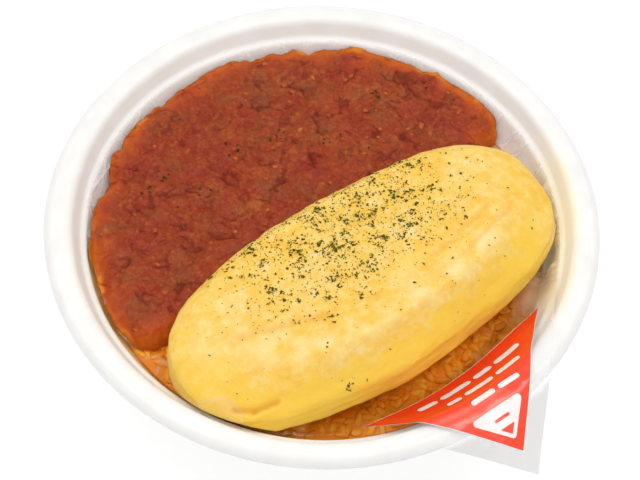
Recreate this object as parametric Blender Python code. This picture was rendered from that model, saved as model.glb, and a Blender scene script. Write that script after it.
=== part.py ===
"""Omurice in a round foam bowl, as it is sold chilled: a bed of tomato rice, a clear film laid over the
rice with one corner pulled out over the rim as a tab, and on the film a plump omelette beside a meat
and tomato sauce.

Frame: metres, +Z up. The origin is the middle of the bowl's flat foot, and the film's tab points
between +X and -Y. Lengths below are in millimetres, and each mesh is scaled to metres once it is made.
"""

import math

import bmesh
import bpy
from mathutils import Matrix, Vector, noise

# ---------------------------------------------------------------- driving dimensions, in millimetres
RIM_RADIUS = 92.5  # to the lip's outer edge, for a bowl 185 mm across
RIM_HEIGHT = 48.0  # top of the rolled rim above the table
FOAM = 1.8  # thickness of the foamed sheet that the bowl is pressed from
FOOT_RADIUS = 63.0
RICE_LEVEL = 30.5
RELIEF = 0.8  # how far the rice's top swells and dips
GAP = 0.3  # kept between neighbours that touch
FILM = 0.3  # stand-in thickness of the film, which is really about 0.04
ON_FILM = GAP + FILM + GAP + 0.2  # what rests on the film is this far above the rice, facets allowed for

FILM_RADIUS = 86.0  # the film's flat size, from its middle to its rounded edge
TAB_TURN = math.radians(-51.5)  # the way the film's square corner points
TAB_HALF_ANGLE = math.radians(45.0)
TAB_DROOP = 0.4  # how far the tab falls for each millimetre outwards

OMELETTE_LENGTH = 143.0
OMELETTE_WIDTH = 65.3
OMELETTE_HEIGHT = 26.0
OMELETTE_TURN = math.radians(38.0)
OMELETTE_PLACE = (15.6, -25.2)

SAUCE_LEVEL = 39.0
SAUCE_CROWN = 1.5  # how far the sauce rises towards its middle
SAUCE_EDGE = 37.8  # how high the sauce reaches up the wall
# Where the sauce ends in front: across to the omelette's left end, then under its back, then up the wall.
SAUCE_FRONT = [(-90.0, -45.0), (-41.0, -46.5), (-22.0, -16.5), (54.0, 38.0), (61.0, 44.5), (66.0, 60.0)]

# ---------------------------------------------------------------- mesh steps
BOWL_STEPS = 54
FILM_STEPS = 48  # so that 45 degrees is a whole number of steps and the tab's corner is sharp
RICE_STEPS = 40
SAUCE_STEPS = 64
OMELETTE_STEPS = 36

# ---------------------------------------------------------------- the bowl's inner face
# Corners as (radius, height, fillet): floor, wall, the steeper step that the lid grips, and the rim.
WALL_TOP = RIM_HEIGHT - 3.9
WALL_TOP_RADIUS = RIM_RADIUS - 10.2
BOWL_CORNERS = [
    (0.0, FOAM, 0.0),
    (FOOT_RADIUS, FOAM, 14.0),
    (WALL_TOP_RADIUS, WALL_TOP, 1.5),
    (RIM_RADIUS - 8.1, RIM_HEIGHT, 2.4),
    (RIM_RADIUS - 1.8, RIM_HEIGHT, 3.4),
    (RIM_RADIUS, RIM_HEIGHT - 3.8, 0.0),
]


def fillet(before, corner, after, radius, steps=2):
    """Points of an arc of that radius where two straight runs meet."""
    corner = Vector(corner)
    back = (Vector(before) - corner).normalized()
    on = (Vector(after) - corner).normalized()
    half = back.angle(on) / 2
    centre = corner + (back + on).normalized() * (radius / math.sin(half))
    start = corner + back * (radius / math.tan(half)) - centre
    end = corner + on * (radius / math.tan(half)) - centre
    return [centre + start.slerp(end, i / steps) * radius for i in range(steps + 1)]


def rounded(corners):
    """The path through corners given as (radius, height, fillet)."""
    path = [Vector(corners[0][:2])]
    for before, corner, after in zip(corners, corners[1:], corners[2:]):
        if corner[2] > 0:
            path += fillet(before[:2], corner[:2], after[:2], corner[2])
        else:
            path.append(Vector(corner[:2]))
    return path + [Vector(corners[-1][:2])]


def beside(path, distance):
    """The path moved to the left of its own direction, with mitred corners."""
    moved = []
    for i, point in enumerate(path):
        back = (point - path[i - 1]).normalized() if i else None
        on = (path[i + 1] - point).normalized() if i + 1 < len(path) else back
        back = back or on
        left = Vector((-back.y - on.y, back.x + on.x)).normalized()
        moved.append(point + left * (distance / left.dot(Vector((-back.y, back.x)))))
    return moved


def along(path, length):
    """The point that far along a path, which goes straight on past its end."""
    for a, b in zip(path, path[1:]):
        step = (b - a).length
        if length <= step:
            return a.lerp(b, length / step)
        length -= step
    return path[-1] + (path[-1] - path[-2]).normalized() * length


def length_at_height(path, height):
    """How far along a rising path it first passes that height."""
    done = 0.0
    for a, b in zip(path, path[1:]):
        if a.y < height <= b.y:
            return done + (b - a).length * (height - a.y) / (b.y - a.y)
        done += (b - a).length
    return done


def up_to_height(path, height):
    """The part of a rising path below that height, with its last point on it."""
    end = length_at_height(path, height)
    kept = [point for point in path if point.y < height - 0.01 or point.x < FOOT_RADIUS / 2]
    return kept + [along(path, end)]


def ease(x):
    """From 0 to 1 with a soft start and end."""
    x = min(max(x, 0.0), 1.0)
    return x * x * (3 - 2 * x)


def lumps(x, y, size, seed):
    """Soft unevenness from -1 to 1, with lumps about that many millimetres across."""
    return noise.noise(Vector((x / size, y / size, seed)))


INNER = rounded(BOWL_CORNERS)


# ---------------------------------------------------------------- making objects
def material(name, colour, roughness, alpha=1.0):
    """A Principled material in an sRGB colour."""
    made = bpy.data.materials.new(name)
    made.use_nodes = True
    shader = made.node_tree.nodes["Principled BSDF"]
    linear = [((c + 0.055) / 1.055) ** 2.4 for c in colour]
    shader.inputs["Base Color"].default_value = (*linear, 1.0)
    shader.inputs["Roughness"].default_value = roughness
    shader.inputs["Metallic"].default_value = 0.0
    shader.inputs["Alpha"].default_value = alpha
    return made


def add(name, shape, finish):
    """Turns a bmesh in millimetres into a named object in metres, shaded smooth but for sharp edges."""
    bmesh.ops.recalc_face_normals(shape, faces=shape.faces)
    mesh = bpy.data.meshes.new(name)
    shape.to_mesh(mesh)
    shape.free()
    mesh.transform(Matrix.Scale(0.001, 4))
    mesh.shade_smooth()
    mesh.set_sharp_from_angle(angle=math.radians(50))
    made = bpy.data.objects.new(name, mesh)
    bpy.context.scene.collection.objects.link(made)
    made.data.materials.append(finish)
    return made


def spun(profile, steps):
    """A profile of (radius, height) points turned all the way round the Z axis."""
    shape = bmesh.new()
    points = [shape.verts.new((p[0], 0.0, p[1])) for p in profile]
    edges = [shape.edges.new(pair) for pair in zip(points, points[1:])]
    bmesh.ops.spin(
        shape,
        geom=points + edges,
        cent=(0, 0, 0),
        axis=(0, 0, 1),
        angle=2 * math.pi,
        steps=steps,
    )
    bmesh.ops.remove_doubles(shape, verts=shape.verts, dist=0.001)
    return shape


def hidden(name, shape, finish):
    """A shape that only cuts others and isn't a piece itself."""
    made = add(name, shape, finish)
    made.hide_render = True
    made.display_type = "WIRE"
    return made


def cut(piece, tool):
    """Takes the tool's shape away from the piece."""
    boolean = piece.modifiers.new("cut_by_" + tool.name, "BOOLEAN")
    boolean.operation = "DIFFERENCE"
    boolean.solver = "EXACT"
    boolean.object = tool


# ---------------------------------------------------------------- the bowl
def make_bowl():
    """The pressed foam sheet: its inner face, the same path one thickness down, and a round lip."""
    under = beside(INNER, -FOAM)
    under[0].x = 0.0
    lip = INNER[-1].lerp(under[-1], 0.5) + (INNER[-1] - INNER[-2]).normalized() * 0.5
    profile = INNER + [lip] + under[::-1]
    return add("bowl", spun(profile, BOWL_STEPS), material("foam", (0.97, 0.97, 0.96), 0.5))


# ---------------------------------------------------------------- the rice
def bed_relief(x, y):
    """How far the top of the rice stands above or below its level, fading out towards the wall."""
    inside = 1 - ease((math.hypot(x, y) - 50) / 12)
    return RELIEF * inside * lumps(x, y, 38, 1.7)


def make_rice():
    """The rice fills the bowl up to its level, with a softly uneven top."""
    side = up_to_height(beside(INNER, GAP), RICE_LEVEL)
    side[0].x = 0.0
    edge = side[-1].x
    rings = 8
    top = [Vector((edge * (1 - (i / rings) ** 1.1), RICE_LEVEL)) for i in range(1, rings)]
    top.append(Vector((0.0, RICE_LEVEL)))
    shape = spun(side + top, RICE_STEPS)
    for point in shape.verts:
        if abs(point.co.z - RICE_LEVEL) < 0.01:
            point.co.z += bed_relief(point.co.x, point.co.y)
    return add("rice", shape, material("tomato_rice", (0.80, 0.50, 0.16), 0.5))


# ---------------------------------------------------------------- the film
def film_paths(clear):
    """Two radial paths that far above what the film lies on: one hugs the wall, and the other is the way
    under the tab, which leaves the rice early and rises straight to the rim."""
    level = RICE_LEVEL + clear
    wall = beside(INNER, clear + 0.4)
    foot = along(wall, length_at_height(wall, level))
    top = along(wall, length_at_height(wall, WALL_TOP - 1.5))
    crest = RIM_HEIGHT + clear + 0.6
    over_rim = [
        (RIM_RADIUS - 8.3, crest, 3.0),
        (RIM_RADIUS - 2.5, crest - 0.2, 4.0),
        (RIM_RADIUS + 30.0, crest - 32.5 * TAB_DROOP, 0.0),
    ]
    hugging = [(0.0, level, 0.0), (foot.x, level, 7.0), (top.x, top.y, 4.0)] + over_rim
    rising = [(0.0, level, 0.0), (66.0, level, 9.0)] + over_rim
    return rounded(hugging), rounded(rising)


def turn_between(a, b):
    """The angle between two directions, from 0 to half a turn."""
    return abs((a - b + math.pi) % (2 * math.pi) - math.pi)


def film_reach(turn):
    """The flat sheet's size in a direction: round, with one square corner for the tab."""
    aside = turn_between(turn, TAB_TURN)
    if aside >= TAB_HALF_ANGLE:
        return FILM_RADIUS
    return FILM_RADIUS / math.cos(TAB_HALF_ANGLE - aside)


def laid_point(paths, turn, length):
    """Where a point of the sheet ends up, that far from its middle in that direction."""
    share = ease((TAB_HALF_ANGLE - turn_between(turn, TAB_TURN)) / math.radians(25))
    place = along(paths[0], length).lerp(along(paths[1], length), share)
    x = place.x * math.cos(turn)
    y = place.x * math.sin(turn)
    return Vector((x, y, place.y + bed_relief(x, y)))


def make_film():
    """A disc with a square corner, laid over the rice, up the wall and out over the rim. Its rings keep
    their distance from the middle, and those past the edge are drawn in to it, close together."""
    rings = [0, 14, 28, 42, 54, 63, 66, 69, 72, 75, 78, 82, 86, 89, 92, 95, 99, 107, 115, 124]
    shape = spun([(float(i), 0.0) for i in range(len(rings))], FILM_STEPS)
    paths = film_paths(GAP + FILM / 2)
    for point in shape.verts:
        turn = math.atan2(point.co.y, point.co.x) + TAB_TURN
        i = round(point.co.length)
        drawn_in = film_reach(turn) - 0.5 * (len(rings) - 1 - i)
        point.co = laid_point(paths, turn, min(rings[i], drawn_in))
    made = add("film", shape, material("clear_film", (0.95, 0.95, 0.95), 0.1, 0.3))
    thickness = made.modifiers.new("thickness", "SOLIDIFY")
    thickness.thickness = FILM * 0.001
    thickness.offset = 0.0
    thickness.use_even_offset = True
    return made


# ---------------------------------------------------------------- the omelette
def radius_at_height(path, height):
    """How far out a rising path is at a height."""
    for a, b in zip(path, path[1:]):
        if a.y < height <= b.y:
            return a.x + (b.x - a.x) * (height - a.y) / (b.y - a.y)
    return math.inf


def densified(path, step):
    """The path with points added so that none of its runs is longer than that."""
    dense = [path[0]]
    for a, b in zip(path, path[1:]):
        parts = math.ceil((b - a).length / step)
        dense += [a.lerp(b, i / parts) for i in range(1, parts + 1)]
    return dense


def omelette_shape(grow):
    """A plump oval loaf with a flat foot and sides that swell past it, pressed against the film where
    its ends meet the bowl's wall. Its profile is in shares of its half width and of its height."""
    profile = rounded(
        [
            (0.0, 0.0, 0.0),
            (0.84, 0.0, 0.04),
            (1.0, 0.34, 0.2),
            (0.99, 0.76, 0.2),
            (0.80, 0.95, 0.3),
            (0.0, 1.0, 0.0),
        ]
    )
    shape = spun(densified(profile, 0.17), OMELETTE_STEPS)
    wall = film_paths(ON_FILM)[0]
    place = Matrix.Translation((*OMELETTE_PLACE, 0)) @ Matrix.Rotation(OMELETTE_TURN, 4, "Z")
    foot = RICE_LEVEL + ON_FILM
    for point in shape.verts:
        turn = math.atan2(point.co.y, point.co.x)
        out = math.hypot(point.co.x, point.co.y) * oval(turn)
        x = (OMELETTE_LENGTH / 2 + grow) * out * math.cos(turn)
        y = (OMELETTE_WIDTH / 2 + grow) * out * math.sin(turn)
        rise = point.co.z
        z = foot - grow + (OMELETTE_HEIGHT + 2 * grow) * rise + ease(rise * 2) * lumps(x, y, 30, 5.2)
        point.co = place @ Vector((x, y, z))
        limit = radius_at_height(wall, z) + grow
        reach = math.hypot(point.co.x, point.co.y)
        if reach > limit:
            point.co.xy *= limit / reach
        point.co.z += bed_relief(point.co.x, point.co.y)
    return shape


def oval(turn):
    """How much further out than a round one an oval's edge is, for blunter ends than an ellipse has."""
    power = 2.6
    return (abs(math.cos(turn)) ** power + abs(math.sin(turn)) ** power) ** (-1 / power)


def make_omelette():
    """The omelette on the film, on the tab's side of the bowl."""
    return add("omelette", omelette_shape(0.0), material("egg", (0.98, 0.80, 0.38), 0.5))


# ---------------------------------------------------------------- the sauce
def sauce_point(path, turn, share, is_top):
    """A point of the pool before it is cut: its underside follows the film up to the sauce's edge, and
    its top comes back from there as a soft heap."""
    uneven = lumps(math.cos(turn) * 4, math.sin(turn) * 4, 1, 8.1)
    edge = length_at_height(path, SAUCE_EDGE + 1.2 * uneven)
    if not is_top:
        place = along(path, edge * share)
        x = place.x * math.cos(turn)
        y = place.x * math.sin(turn)
        return Vector((x, y, place.y + bed_relief(x, y)))
    rim = along(path, edge)
    x = rim.x * share * math.cos(turn)
    y = rim.x * share * math.sin(turn)
    heap = SAUCE_LEVEL + SAUCE_CROWN * (1 - share**2) + 1.3 * lumps(x, y, 13, 3.3)
    return Vector((x, y, rim.y + (heap - rim.y) * ease((1 - share) / 0.12 + 0.1)))


def prism(outline, low, high):
    """A straight-sided solid over an outline that runs anticlockwise."""
    shape = bmesh.new()
    bottom = [shape.verts.new((x, y, low)) for x, y in outline]
    top = [shape.verts.new((x, y, high)) for x, y in outline]
    shape.faces.new(bottom[::-1])
    shape.faces.new(top)
    for i, point in enumerate(bottom):
        shape.faces.new((bottom[i - 1], point, top[i], top[i - 1]))
    return shape


def make_sauce():
    """A pool against the film, cut to the omelette's back and to its own front edge."""
    under = [(share, 0.0) for share in (0.0, 0.25, 0.5, 0.7, 0.8, 0.86, 0.91, 0.96, 1.0)]
    top = [(share, 1.0) for share in (0.98, 0.94, 0.89, 0.82, 0.74, 0.65, 0.55, 0.44, 0.3, 0.15, 0.0)]
    shape = spun(under + top, SAUCE_STEPS)
    path = film_paths(ON_FILM)[0]
    for point in shape.verts:
        turn = math.atan2(point.co.y, point.co.x)
        share = math.hypot(point.co.x, point.co.y)
        point.co = sauce_point(path, turn, share, point.co.z > 0.5)
    finish = material("meat_sauce", (0.66, 0.28, 0.16), 0.35)
    made = add("sauce", shape, finish)
    cut(made, hidden("omelette_cutter", omelette_shape(GAP), finish))
    front = SAUCE_FRONT[::-1] + [(-90.0, -110.0), (110.0, -110.0), (110.0, 60.0)]
    cut(made, hidden("front_cutter", prism(front, 10.0, 70.0), finish))
    return made


# ---------------------------------------------------------------- the whole
def clear_scene():
    """Starts from nothing."""
    for thing in list(bpy.data.objects):
        bpy.data.objects.remove(thing)


clear_scene()
make_bowl()
make_rice()
make_film()
make_omelette()
make_sauce()
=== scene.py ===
# %% [markdown]
# # A chilled omurice in its foam bowl
#
# An omurice is tomato rice under an omelette, here sold cold in a white foam bowl. A thin clear film keeps the
# rice apart from the omelette and the meat sauce, and one printed corner of it hangs over the rim as a tab to
# pull. This lesson dresses a plain measured model, the frame, in finer shapes and finishes. The frame has one
# solid for each of the five things in the bowl, and every piece made here stands in for one of them or lies on
# one of them.

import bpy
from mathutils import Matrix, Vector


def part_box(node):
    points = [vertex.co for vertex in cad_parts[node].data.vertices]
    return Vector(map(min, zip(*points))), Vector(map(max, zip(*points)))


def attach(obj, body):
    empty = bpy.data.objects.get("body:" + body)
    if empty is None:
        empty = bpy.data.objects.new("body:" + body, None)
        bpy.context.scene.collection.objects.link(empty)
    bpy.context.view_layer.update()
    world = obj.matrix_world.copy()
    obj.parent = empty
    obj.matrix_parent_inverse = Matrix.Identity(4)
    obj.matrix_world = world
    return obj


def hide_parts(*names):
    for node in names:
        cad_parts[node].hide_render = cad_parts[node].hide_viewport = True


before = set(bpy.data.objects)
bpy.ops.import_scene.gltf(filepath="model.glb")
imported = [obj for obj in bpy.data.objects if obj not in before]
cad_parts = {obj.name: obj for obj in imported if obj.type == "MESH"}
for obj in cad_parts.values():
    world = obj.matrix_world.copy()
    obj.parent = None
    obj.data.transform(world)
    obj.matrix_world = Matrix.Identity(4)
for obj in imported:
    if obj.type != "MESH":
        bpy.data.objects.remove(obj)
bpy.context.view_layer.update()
print("The frame holds", sorted(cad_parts))

# %% Libraries and units
import math

import bmesh
import bpy
import numpy as np
from mathutils import Matrix, Vector, geometry, noise
from mathutils.bvhtree import BVHTree
from mathutils.kdtree import KDTree

MM = 0.001
DEG = math.pi / 180
random = np.random.default_rng(20)
print("Lengths below are in millimetres, and one millimetre is", MM, "of Blender's units")

# %% [markdown]
# ## Sizes
#
# The sizes of the whole come from the frame's boxes. What the frame can't say in a box, such as how thick the
# foam is or how far the omelette is turned, is named here once.

# %% Name the sizes
RIM_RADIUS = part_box("bowl")[1].x / MM
RIM_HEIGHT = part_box("bowl")[1].z / MM
FOAM = 1.8
FOOT_RADIUS = 63.0
RICE_LEVEL = 30.5
FILM_LIFT = 0.45  # the film's own height above what it lies on
FILM_RADIUS = 86.0
TAB_TURN, TAB_HALF_ANGLE = -51.5 * DEG, 45.0 * DEG
OMELETTE_LENGTH, OMELETTE_WIDTH, OMELETTE_HEIGHT = 143.0, 65.3, 26.0
OMELETTE_PLACE, OMELETTE_TURN = np.array([15.6, -25.2]), 38.0 * DEG
SAUCE_LEVEL = 39.0
print(f"The rim is {2 * RIM_RADIUS:.0f} mm across and {RIM_HEIGHT:.0f} mm up")

# %% [markdown]
# ## Helpers for shapes
#
# Most shapes here start as numbers: a path in a plane that is turned round the bowl's axis, or a flat outline
# filled with small triangles that are then lifted into place. Building the points with numpy and handing them
# to Blender in one go is much faster than moving them one at a time.


# %% Turn points and faces into a piece
def piece(name, points, faces, look, smooth=True, closed=True):
    """A mesh object from points in millimetres and faces given by point numbers.

    A closed piece has its faces turned outward; an open sheet keeps them as they are.
    """
    mesh = bpy.data.meshes.new(name)
    mesh.from_pydata((np.asarray(points, float) * MM).tolist(), [], [list(map(int, face)) for face in faces])
    mesh.validate()
    if closed:
        shell = bmesh.new()
        shell.from_mesh(mesh)
        bmesh.ops.recalc_face_normals(shell, faces=shell.faces)
        shell.to_mesh(mesh)
        shell.free()
    if smooth:
        mesh.shade_smooth()
    made = bpy.data.objects.new(name, mesh)
    bpy.context.scene.collection.objects.link(made)
    made.data.materials.append(look)
    print(f"{name}: {len(mesh.vertices)} points, {len(mesh.polygons)} faces")
    return made


def note(made, **values):
    """Gives each point of a piece numbers that its finish can read by name."""
    for name, numbers in values.items():
        numbers = np.full(len(made.data.vertices), numbers, np.float32)
        made.data.attributes.new(name, "FLOAT", "POINT").data.foreach_set("value", numbers)


def stay(made, slot, *nodes):
    """The piece rides on the bowl's body and may stand in for nodes of the frame."""
    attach(made, "root")
    if nodes:
        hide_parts(*nodes)
    return made


def joined(name, shapes, look, slot, smooth=True):
    """Many small closed shapes, each given as (points, faces, shade), as one piece."""
    points, faces, shades = [], [], []
    for own_points, own_faces, shade in shapes:
        faces += [[i + len(points) for i in face] for face in own_faces]
        points += own_points.tolist()
        shades += [shade] * len(own_points)
    made = piece(name, points, faces, look, smooth)
    note(made, grain=shades)
    return stay(made, slot)


# %% Soft steps, noise and directions
def ease(x):
    """From 0 to 1 with a soft start and end."""
    x = np.clip(x, 0.0, 1.0)
    return x * x * (3 - 2 * x)


def bell(off, width):
    """1 where nothing is off, falling to almost 0 within two widths."""
    return np.exp(-((off / width) ** 2))


def quarter(share):
    """The height of a quarter circle from its foot to its top."""
    return np.sqrt(1 - (1 - np.clip(share, 0, 1)) ** 2)


def lumps(x, y, size, seed):
    """Smooth unevenness from -1 to 1 at each place, with lumps about that many millimetres across."""
    at = np.stack(np.broadcast_arrays(np.asarray(x, float) / size, np.asarray(y, float) / size, seed), -1)
    return np.array([noise.noise(p) for p in at.reshape(-1, 3).tolist()]).reshape(at.shape[:-1])


def ways(turn):
    """A step of one in each direction."""
    return np.stack([np.cos(turn), np.sin(turn)], -1)


def polar(x, y):
    """The direction and distance of each place from the middle."""
    return np.arctan2(y, x), np.hypot(x, y)


def apart(a, b):
    """The angle between two directions, from 0 to half a turn."""
    return np.abs((a - b + math.pi) % (2 * math.pi) - math.pi)


# %% Paths with rounded corners
def rounded(corners, steps=8):
    """The path through corners given as (x, y, fillet radius)."""
    path = [Vector(corners[0][:2])]
    for before, corner, after in zip(corners, corners[1:], corners[2:]):
        at = Vector(corner[:2])
        if not corner[2]:
            path.append(at)
            continue
        back = (Vector(before[:2]) - at).normalized()
        on = (Vector(after[:2]) - at).normalized()
        half = back.angle(on) / 2
        centre = at + (back + on).normalized() * (corner[2] / math.sin(half))
        start = at + back * (corner[2] / math.tan(half)) - centre
        end = at + on * (corner[2] / math.tan(half)) - centre
        path += [centre + start.slerp(end, i / steps) * corner[2] for i in range(steps + 1)]
    return np.array([*path, Vector(corners[-1][:2])])


def beside(path, distance):
    """The path moved to the left of its own direction, with mitred corners."""
    run = np.diff(path, axis=0)
    run /= np.linalg.norm(run, axis=1)[:, None]
    back = np.vstack([run[:1], run])
    on = np.vstack([run, run[-1:]])
    left = np.stack([-(back + on)[:, 1], (back + on)[:, 0]], 1)
    left /= np.linalg.norm(left, axis=1)[:, None]
    stretch = (left * np.stack([-back[:, 1], back[:, 0]], 1)).sum(1)
    return path + left * (distance / stretch)[:, None]


def distances(path):
    """How far along the path each of its points is."""
    return np.concatenate([[0.0], np.cumsum(np.linalg.norm(np.diff(path, axis=0), axis=1))])


def along(path, length):
    """The places that far along a path."""
    done = distances(path)
    return np.stack([np.interp(length, done, path[:, k]) for k in range(2)], -1)


def resampled(outline, step, closed=True):
    """The same outline with a point about every that many millimetres."""
    outline = np.asarray(outline, float)
    if closed:
        outline = np.vstack([outline, outline[:1]])
    length = distances(outline)[-1]
    return along(outline, np.linspace(0, length, max(3, round(length / step)), endpoint=not closed))


# %% Turned and filled shapes
def turned(profile, steps):
    """A profile of (radius, height) points turned round the Z axis, as points and four-sided faces."""
    ring = ways(np.linspace(0, 2 * math.pi, steps, endpoint=False))
    points = np.concatenate([np.c_[ring * r, np.full(steps, z)] for r, z in profile])
    rows = np.arange(len(profile) - 1)[:, None] * steps
    a = np.arange(steps)[None, :]
    b = (a + 1) % steps
    return points, np.stack([rows + a, rows + steps + a, rows + steps + b, rows + b], -1).reshape(-1, 4)


def lattice(low, high, step):
    """Places on a grid of even triangles between two corners."""
    rows = np.arange(low[1], high[1], step * 0.866)
    spots = [np.arange(low[0], high[0], step) + step * 0.5 * (i % 2) for i in range(len(rows))]
    return np.concatenate([np.c_[s, np.full(len(s), y)] for s, y in zip(spots, rows)])


def in_outline(points, outline):
    """Which points lie inside a closed outline, by counting the edges to their right."""
    x, y = points.T
    inside = np.zeros(len(x), bool)
    for (x0, y0), (x1, y1) in zip(outline, np.roll(outline, -1, 0)):
        if y0 != y1:
            crosses = (y0 > y) != (y1 > y)
            inside ^= crosses & (x < (x1 - x0) * (y - y0) / (y1 - y0) + x0)
    return inside


def nearest(points, line):
    """How far each point is from the nearest point of a line."""
    tree = KDTree(len(line))
    for i, p in enumerate(line):
        tree.insert((*p, 0), i)
    tree.balance()
    return np.array([tree.find((*p, 0))[2] for p in points])


def filled(outline, step, coarse=None):
    """A flat outline filled with even triangles about that size: its points and its triangles.

    The optional coarse pair is a radius and the larger triangles' size within it.
    """
    low, high = outline.min(0), outline.max(0)
    grid = lattice(low, high, step)
    if coarse:
        radius, wide_step = coarse
        wide = lattice(low, high, wide_step)
        outer = grid[np.hypot(*grid.T) > radius + wide_step / 2]
        grid = np.concatenate([outer, wide[np.hypot(*wide.T) < radius]])
    grid = grid[in_outline(grid, outline)]
    grid = grid[nearest(grid, outline) > step * 0.45]
    edges = [(i, (i + 1) % len(outline)) for i in range(len(outline))]
    made = geometry.delaunay_2d_cdt([Vector(p) for p in np.vstack([outline, grid])], edges, [], 1, 1e-5)
    return np.array(made[0]), np.array(made[2])


# %% [markdown]
# ## Helpers for finishes
#
# A finish is a small network of nodes that ends in one Principled shader. One function adds any node, with its
# settings and links, and gives back the output that the next node reads. Pattern sizes are in millimetres: a
# noise texture whose scale is one over the size has lumps of that size, as the object's coordinates are metres.


# %% Colours and nodes
def linear(colour):
    """An sRGB hex colour as the linear red, green, blue and alpha that Blender's sockets take."""
    parts = [int(colour[i : i + 2], 16) / 255 for i in (1, 3, 5)]
    return (*[c / 12.92 if c <= 0.04045 else ((c + 0.055) / 1.055) ** 2.4 for c in parts], 1.0)


def fill(made, inputs):
    """Fills a node's inputs with plain values, sRGB hex colours or other nodes' outputs."""
    for name, value in inputs.items():
        if isinstance(value, bpy.types.NodeSocket):
            made.id_data.links.new(value, made.inputs[name])
        else:
            made.inputs[name].default_value = linear(value) if isinstance(value, str) else value


def node(tree, kind, inputs=None, out=0, stops=(), **settings):
    """Adds a node with its settings, a ramp's (place, colour) stops and its inputs, and returns an output."""
    made = tree.nodes.new("ShaderNode" + kind)
    for name, value in settings.items():
        setattr(made, name, value)
    for i, (place, colour) in enumerate(stops):
        mark = made.color_ramp.elements[i] if i < 2 else made.color_ramp.elements.new(place)
        mark.position = place
        mark.color = linear(colour)
    fill(made, inputs or {})
    return made.outputs[out]


MIX = {"out": 2, "data_type": "RGBA"}  # makes a Mix node lay one colour (7) over another (6) by a factor (0)


def finish(name, **values):
    """A material with one Principled shader, its plain values set on the shader's own sockets."""
    made = bpy.data.materials.new(name)
    made.use_nodes = True
    shader = made.node_tree.nodes["Principled BSDF"]
    fill(shader, {key.replace("_", " "): value for key, value in values.items()})
    return made, made.node_tree, shader


def glow(weight, reach, size):
    """How much light sinks into a material, and how far its red, green and blue go, as shares of a size."""
    return {"Subsurface_Weight": weight, "Subsurface_Radius": reach, "Subsurface_Scale": size * MM}


def per_mm(size):
    """The scale of a texture in object coordinates whose features are that many millimetres across."""
    return 1 / (size * MM)


def speckled(name, shades, stains, size, detail, share, **values):
    """A material of many bits, each with its own shade, under a share of stains of a size in millimetres."""
    made, tree, shader = finish(name, **values)
    place = node(tree, "TexCoord", out="Object")
    grain = node(tree, "Attribute", out="Fac", attribute_name="grain")
    cloud = node(tree, "TexNoise", {"Vector": place, "Scale": per_mm(size), "Detail": detail})
    own = node(tree, "ValToRGB", {"Fac": grain}, stops=shades)
    stain = node(tree, "ValToRGB", {"Fac": cloud}, stops=stains)
    fill(shader, {"Base Color": node(tree, "Mix", {0: share, 6: own, 7: stain}, **MIX)})
    return made, tree, shader, place


# %% [markdown]
# ## Foamed polystyrene
#
# The bowl is pressed from a foamed sheet. The skin is satin white with a very fine unevenness from the cells
# under it, which are about 0.3 mm wide. They are drawn here at 1.1 mm, or they would not show at all. Light
# goes a short way into the foam, so its shadows stay pale. Where sauce has touched the wall it has an orange
# stain. Next to the egg the wall is painted cream, a painted glow of the light that the egg throws back, and
# the inner wall below the rim is painted whiter than the rest, painted light against the shade inside the bowl.
# The finish reads these from numbers on the piece.


# %% Mix the foam
def foamed_polystyrene():
    """White pressed foam: satin, with pale soft shadows and a faint grain of cells."""
    light = glow(1.0, (1.0, 1.0, 1.0), 3.0)
    made, tree, shader = finish("foamed_polystyrene", Roughness=0.42, IOR=1.49, **light)
    place = node(tree, "TexCoord", out="Object")
    cells = node(tree, "TexNoise", {"Vector": place, "Scale": per_mm(1.1), "Detail": 2.0})
    broad = node(tree, "TexNoise", {"Vector": place, "Scale": per_mm(9.0), "Detail": 1.0})
    greased = node(tree, "Attribute", out="Fac", attribute_name="greased")
    smooth = node(tree, "Attribute", out="Fac", attribute_name="smooth")
    tone = node(tree, "ValToRGB", {"Fac": broad}, stops=[(0.3, "#EAE9E7"), (0.7, "#EFEEEC")])
    # Painted light: the inner wall below the rim is painted whiter than the rim and the outside, against the
    # shade inside the bowl.
    tone = node(tree, "Mix", {0: smooth, 6: tone, 7: "#F9F8F6"}, **MIX)
    # Orange where sauce has stained the wall; the cream next to the egg is a painted glow of the light that the
    # egg throws back.
    stain = node(tree, "ValToRGB", {"Fac": greased}, stops=[(0.4, "#FEF0D0"), (1.0, "#FAD096")])
    soaked = node(tree, "Math", {0: greased, 1: 2.0}, operation="MULTIPLY", use_clamp=True)
    tone = node(tree, "Mix", {0: soaked, 6: tone, 7: stain}, **MIX)
    bump = node(tree, "Bump", {"Height": cells, "Strength": 0.25, "Distance": 0.06 * MM})
    fill(shader, {"Base Color": tone, "Normal": bump})
    return made


# %% [markdown]
# ## The bowl
#
# The bowl is one profile turned round: a flat foot, a steep wall, a narrow ledge near the top that the lid
# grips, a rolled rim, and a thin notch under its lip. Each corner of the profile has its own fillet, as pressed
# foam can't hold a sharp one. The outer face is plain. A pressed bowl is never quite round, so near its top
# the inner face lies up to 1.2 mm further out on the near side, and half as far in on the left.

# %% Draw the bowl's two faces
FOOT = [(0.0, FOAM, 0.0), (FOOT_RADIUS, FOAM, 14.0)]
WALL_TOP_RADIUS = RIM_RADIUS - 10.2


def from_rim(*corners):
    """Corners given as (inward from the rim, down from its top, fillet radius)."""
    return [(RIM_RADIUS - inward, RIM_HEIGHT - down, fillet) for inward, down, fillet in corners]


RIM = from_rim((8.4, 0.0, 3.4), (1.8, 0.0, 3.4))
LEDGE = from_rim((14.1, 12.5, 12.0), (13.1, 7.7, 0.9), (11.2, 6.4, 0.8))
NOTCH = from_rim((0.0, 2.9, 0.0), (0.9, 3.1, 0.0), (0.9, 3.5, 0.0), (0.1, 3.7, 0.0), (0.1, 3.9, 0.0))
INNER = rounded(FOOT + LEDGE + RIM + NOTCH)
PLAIN = rounded(FOOT + from_rim((10.2, 3.9, 1.5)) + RIM + from_rim((0.0, 3.8, 0.0)))
print("The inner face is", round(distances(INNER)[-1]), "mm from the middle to the lip")


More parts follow.
